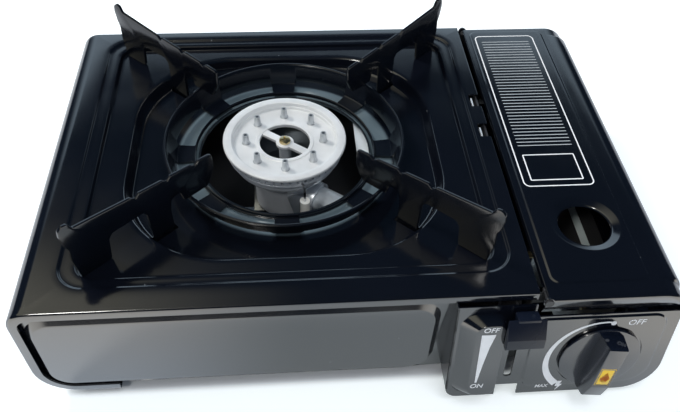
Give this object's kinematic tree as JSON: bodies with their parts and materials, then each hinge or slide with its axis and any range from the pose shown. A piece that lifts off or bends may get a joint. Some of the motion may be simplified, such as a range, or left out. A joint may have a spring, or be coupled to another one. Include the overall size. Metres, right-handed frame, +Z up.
{
  "type": "portable cassette gas stove",
  "caption": "Table-top gas stove with a recessed burner, lift-off pan support, hinged cartridge lid, sliding lock lever and ignition knob.",
  "frame": {"origin": "middle of the stove's bounding box, on the table under the feet", "axes": "+X to the user's right, +Y to the back, +Z up"},
  "size_m": [0.35, 0.2632, 0.118],
  "materials": {
    "gloss_black_paint": "glossy black stoving paint on pressed steel",
    "satin_black_enamel": "semi-gloss black enamel on steel",
    "satin_black_steel": "satin black paint",
    "zinc_steel": "bright zinc plating",
    "bright_aluminium": "turned and die-cast aluminium, bright",
    "cast_zinc": "as cast, matt",
    "brass": "turned brass",
    "black_rubber": "matt",
    "black_plastic": "glossy moulded plastic",
    "yellow_plastic": "glossy yellow",
    "lead_sleeve": "silicone sleeve, matt",
    "ceramic": null
  },
  "bodies": {
    "casing": {"top_cover": "gloss_black_paint", "side_casing": "gloss_black_paint", "bottom_tray": "satin_black_steel", "front_panel": "gloss_black_paint", "control_panel": "gloss_black_paint", "back_panel": "gloss_black_paint", "partition": "zinc_steel", "rubber_feet": "black_rubber", "tray_screws": "zinc_steel", "panel_screws": "zinc_steel", "hinge_pins": "zinc_steel", "cartridge_cradle": "satin_black_steel", "guide_rail": "zinc_steel", "lever_guide": "satin_black_steel", "regulator_body": "cast_zinc", "diaphragm": "black_rubber", "diaphragm_spring": "zinc_steel", "regulator_cap": "cast_zinc", "regulator_screws": "zinc_steel", "regulator_bracket": "zinc_steel", "bracket_screws": "zinc_steel", "inlet_seal": "black_rubber", "valve_gland": "brass", "igniter": "black_plastic", "ignition_lead": "lead_sleeve", "electrode_insulator": "ceramic", "electrode_wire": "zinc_steel", "electrode_bracket": "zinc_steel", "gas_pipe": "brass", "injector": "brass", "mixing_tube": "bright_aluminium", "burner_base": "bright_aluminium", "port_ring": "bright_aluminium", "burner_head": "bright_aluminium", "burner_screw": "brass", "burner_bracket": "zinc_steel", "heat_plate": "bright_aluminium", "heat_plate_rivets": "bright_aluminium"},
    "lid": {"lid": "gloss_black_paint"},
    "knob": {"knob": "black_plastic", "knob_insert": "yellow_plastic", "valve_spindle": "brass"},
    "lever": {"lever_plate": "zinc_steel", "lever_knob": "black_plastic"},
    "pusher": {"push_strip": "zinc_steel"},
    "pan_support": {"pan_ring": "satin_black_enamel", "arm_front_left": "satin_black_enamel", "arm_front_right": "satin_black_enamel", "arm_back_left": "satin_black_enamel", "arm_back_right": "satin_black_enamel"}
  },
  "joints": [
    {"name": "lid_hinge", "type": "hinge", "parent": "casing", "child": "lid", "pos_m": [0.098, 0.01262, 0.079], "axis": [0, -1, 0], "range_deg": [0, 92]},
    {"name": "knob_turn", "type": "hinge", "parent": "casing", "child": "knob", "pos_m": [0.135, -0.11484, 0.034], "axis": [0, -0.9848, 0.1736], "range_deg": [0, 150]},
    {"name": "lever_slide", "type": "slide", "parent": "casing", "child": "lever", "axis": [0, -0.1736, -0.9848], "range_m": [0, 0.026]},
    {"name": "pusher_slide", "type": "slide", "parent": "casing", "child": "pusher", "axis": [0, -1, 0], "range_m": [0, 0.007]},
    {"name": "pan_support_lift", "type": "slide", "parent": "casing", "child": "pan_support", "axis": [0, 0, 1], "range_m": [0, 0.06]}
  ],
  "couplings": [
    {"joint": "pusher_slide", "follows": "lever_slide", "ratio": 0.26923}
  ]
}
